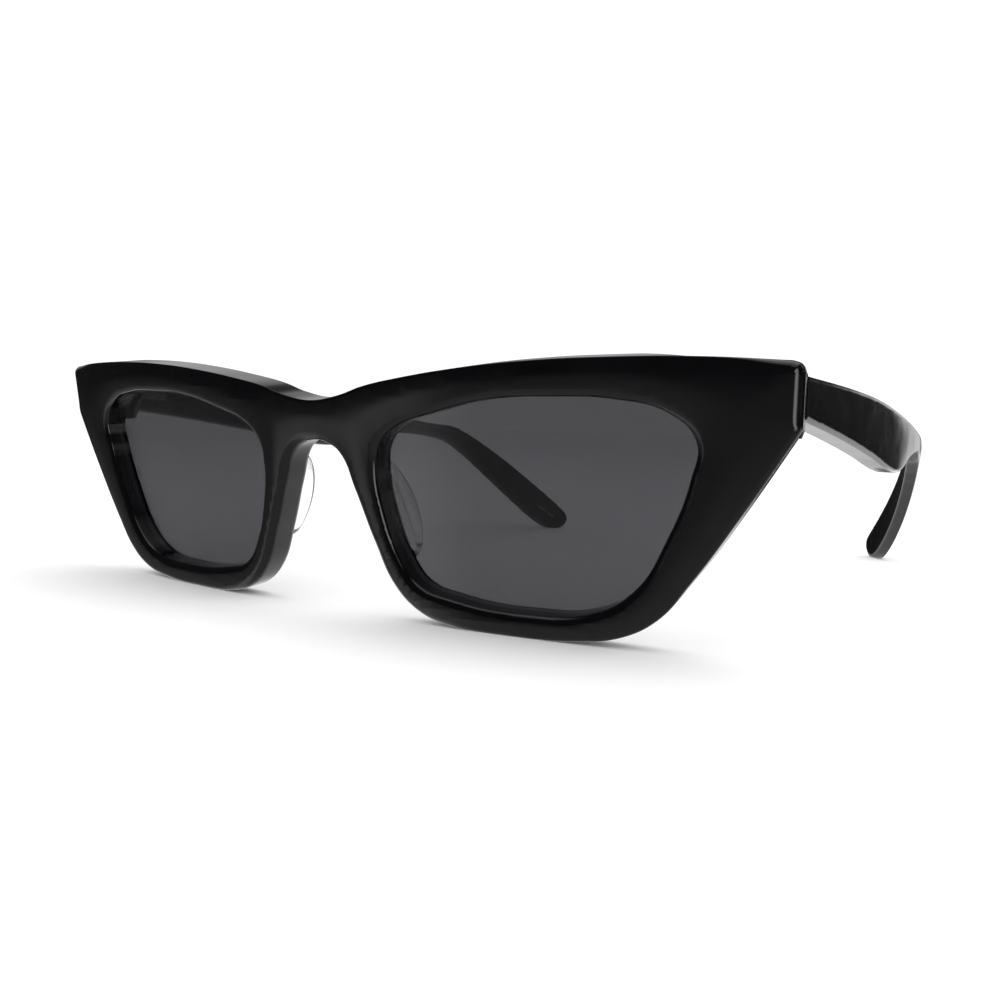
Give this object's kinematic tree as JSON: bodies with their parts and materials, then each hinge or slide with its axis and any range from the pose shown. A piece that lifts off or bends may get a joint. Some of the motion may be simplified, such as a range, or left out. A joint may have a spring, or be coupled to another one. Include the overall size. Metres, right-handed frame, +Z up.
{
  "type": "cat eye sunglasses",
  "caption": "Cat eye sunglasses with a thick black acetate front, grey sun lenses, clear nose pads and wide folding temples on steel barrel hinges.",
  "frame": {"origin": "middle of the footprint, on the surface that the rims and temple tips stand on", "axes": "+X towards the wearer's left, the front faces -Y and the open temples run towards +Y, +Z up"},
  "size_m": [0.1484, 0.1582, 0.0406],
  "materials": {
    "black_acetate": "polished black acetate",
    "sun_lens": "grey tinted lens, polished, passes about 8 percent of light",
    "clear_pad": "clear polished acetate",
    "hinge_steel": "stainless steel, fine satin",
    "core_steel": "drawn steel wire"
  },
  "bodies": {
    "front": {"front_frame": "black_acetate", "lens_left": "sun_lens", "lens_right": "sun_lens", "nose_pad_left": "clear_pad", "nose_pad_right": "clear_pad", "front_hinge_left": "hinge_steel", "front_hinge_right": "hinge_steel", "hinge_screw_left": "hinge_steel", "hinge_screw_right": "hinge_steel", "front_rivet_left_inner": "hinge_steel", "front_rivet_left_outer": "hinge_steel", "front_rivet_right_inner": "hinge_steel", "front_rivet_right_outer": "hinge_steel"},
    "temple_left": {"temple_left": "black_acetate", "core_wire_left": "core_steel", "temple_hinge_left": "hinge_steel", "temple_rivet_left_front": "hinge_steel", "temple_rivet_left_rear": "hinge_steel"},
    "temple_right": {"temple_right": "black_acetate", "core_wire_right": "core_steel", "temple_hinge_right": "hinge_steel", "temple_rivet_right_front": "hinge_steel", "temple_rivet_right_rear": "hinge_steel"}
  },
  "joints": [
    {"name": "temple_left_fold", "type": "hinge", "parent": "front", "child": "temple_left", "pos_m": [0.0669, -0.06129, 0.0349], "axis": [0, 0, 1], "range_deg": [0, 82]},
    {"name": "temple_right_fold", "type": "hinge", "parent": "front", "child": "temple_right", "pos_m": [-0.0669, -0.06129, 0.0349], "axis": [0, 0, -1], "range_deg": [0, 64]}
  ]
}
